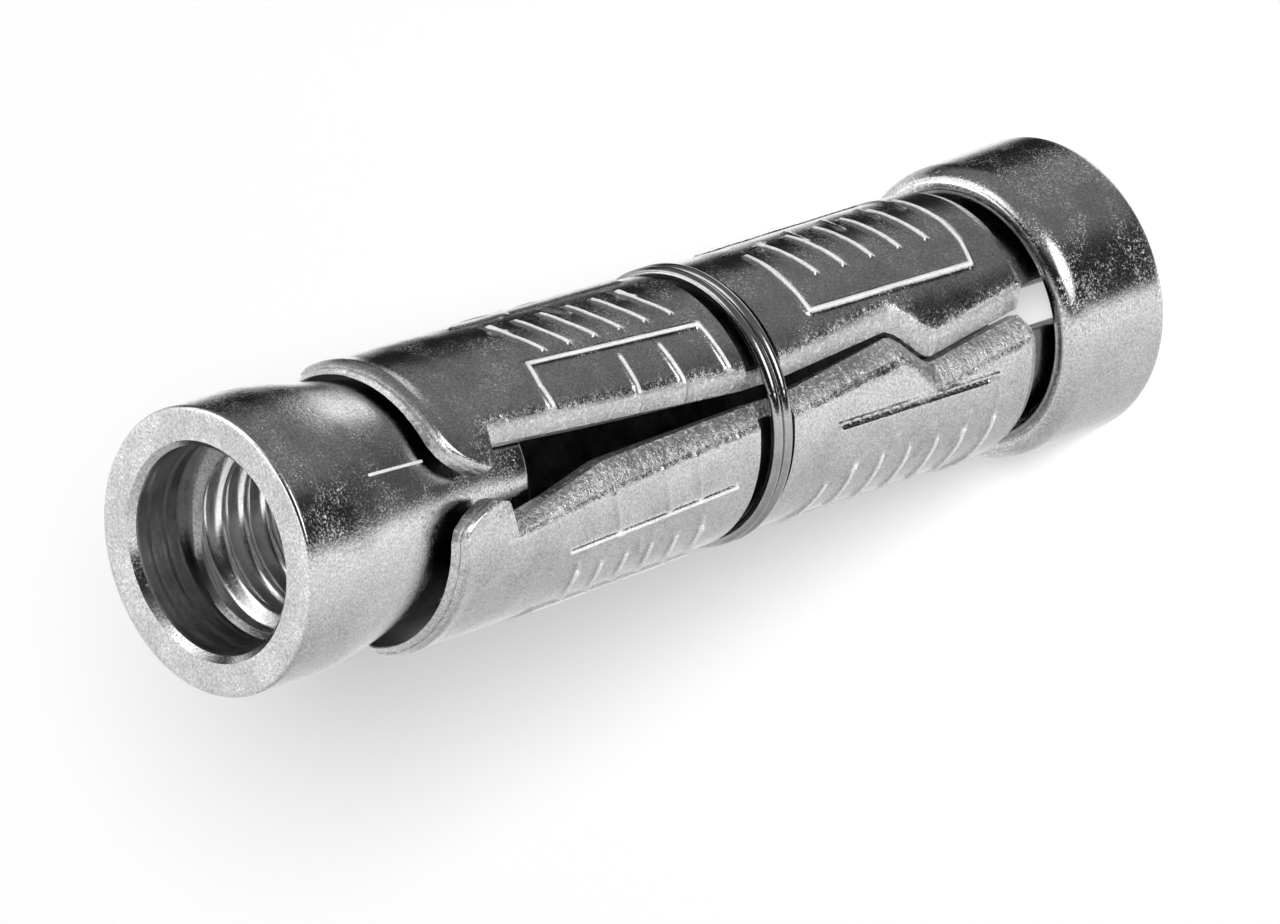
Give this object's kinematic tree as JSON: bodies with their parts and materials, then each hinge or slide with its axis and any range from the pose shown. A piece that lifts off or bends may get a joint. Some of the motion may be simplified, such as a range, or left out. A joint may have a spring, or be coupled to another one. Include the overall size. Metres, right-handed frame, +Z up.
{
  "type": "shield anchor",
  "caption": "Expansion shield anchor: pressed steel segments held by a ferrule and a spring ring, wedged apart by a threaded cone nut.",
  "frame": {"origin": "middle of the bounding box's base, on the ground under the ferrule's end", "axes": "+Z up from the ferrule's end to the expander nut, +Y to the side that the loose shield leans to, +X across"},
  "size_m": [0.0154, 0.0174, 0.0602],
  "materials": {
    "drawn_zinc_steel": "drawn steel with bright zinc plating",
    "zinc_plated_steel": "turned steel with bright zinc plating",
    "pressed_zinc_steel": "pressed and sheared steel with zinc plating",
    "spring_wire": "bright spring wire"
  },
  "bodies": {
    "cap": {"ferrule": "drawn_zinc_steel", "spring_ring": "spring_wire"},
    "nut": {"expander_nut": "zinc_plated_steel"},
    "segment_1": {"shield_segment_1": "pressed_zinc_steel"},
    "segment_2": {"shield_segment_2": "pressed_zinc_steel"},
    "segment_3": {"shield_segment_3": "pressed_zinc_steel"}
  },
  "joints": [
    {"name": "nut_slide", "type": "slide", "parent": "cap", "child": "nut", "axis": [0, -0.0401, -0.9992], "range_m": [0, 0.006], "deforming": ["spring_ring"]},
    {"name": "segment_1_hinge", "type": "hinge", "parent": "cap", "child": "segment_1", "pos_m": [0.00562, 0.00078, 0.00493], "axis": [-0.299, 0.9535, -0.0383], "range_deg": [0, 2.65]},
    {"name": "segment_2_hinge", "type": "hinge", "parent": "cap", "child": "segment_2", "pos_m": [-0.00464, 0.00307, 0.00484], "axis": [-0.6769, -0.7355, 0.0295], "range_deg": [0, 2.65]},
    {"name": "segment_3_hinge", "type": "hinge", "parent": "cap", "child": "segment_3", "pos_m": [-0.00149, -0.00695, 0.00524], "axis": [0.9759, -0.218, 0.0088], "range_deg": [0, 2.65]}
  ],
  "couplings": [
    {"joint": "segment_1_hinge", "follows": "nut_slide", "rad_per_m": 7.6},
    {"joint": "segment_2_hinge", "follows": "nut_slide", "rad_per_m": 7.6},
    {"joint": "segment_3_hinge", "follows": "nut_slide", "rad_per_m": 7.6}
  ]
}
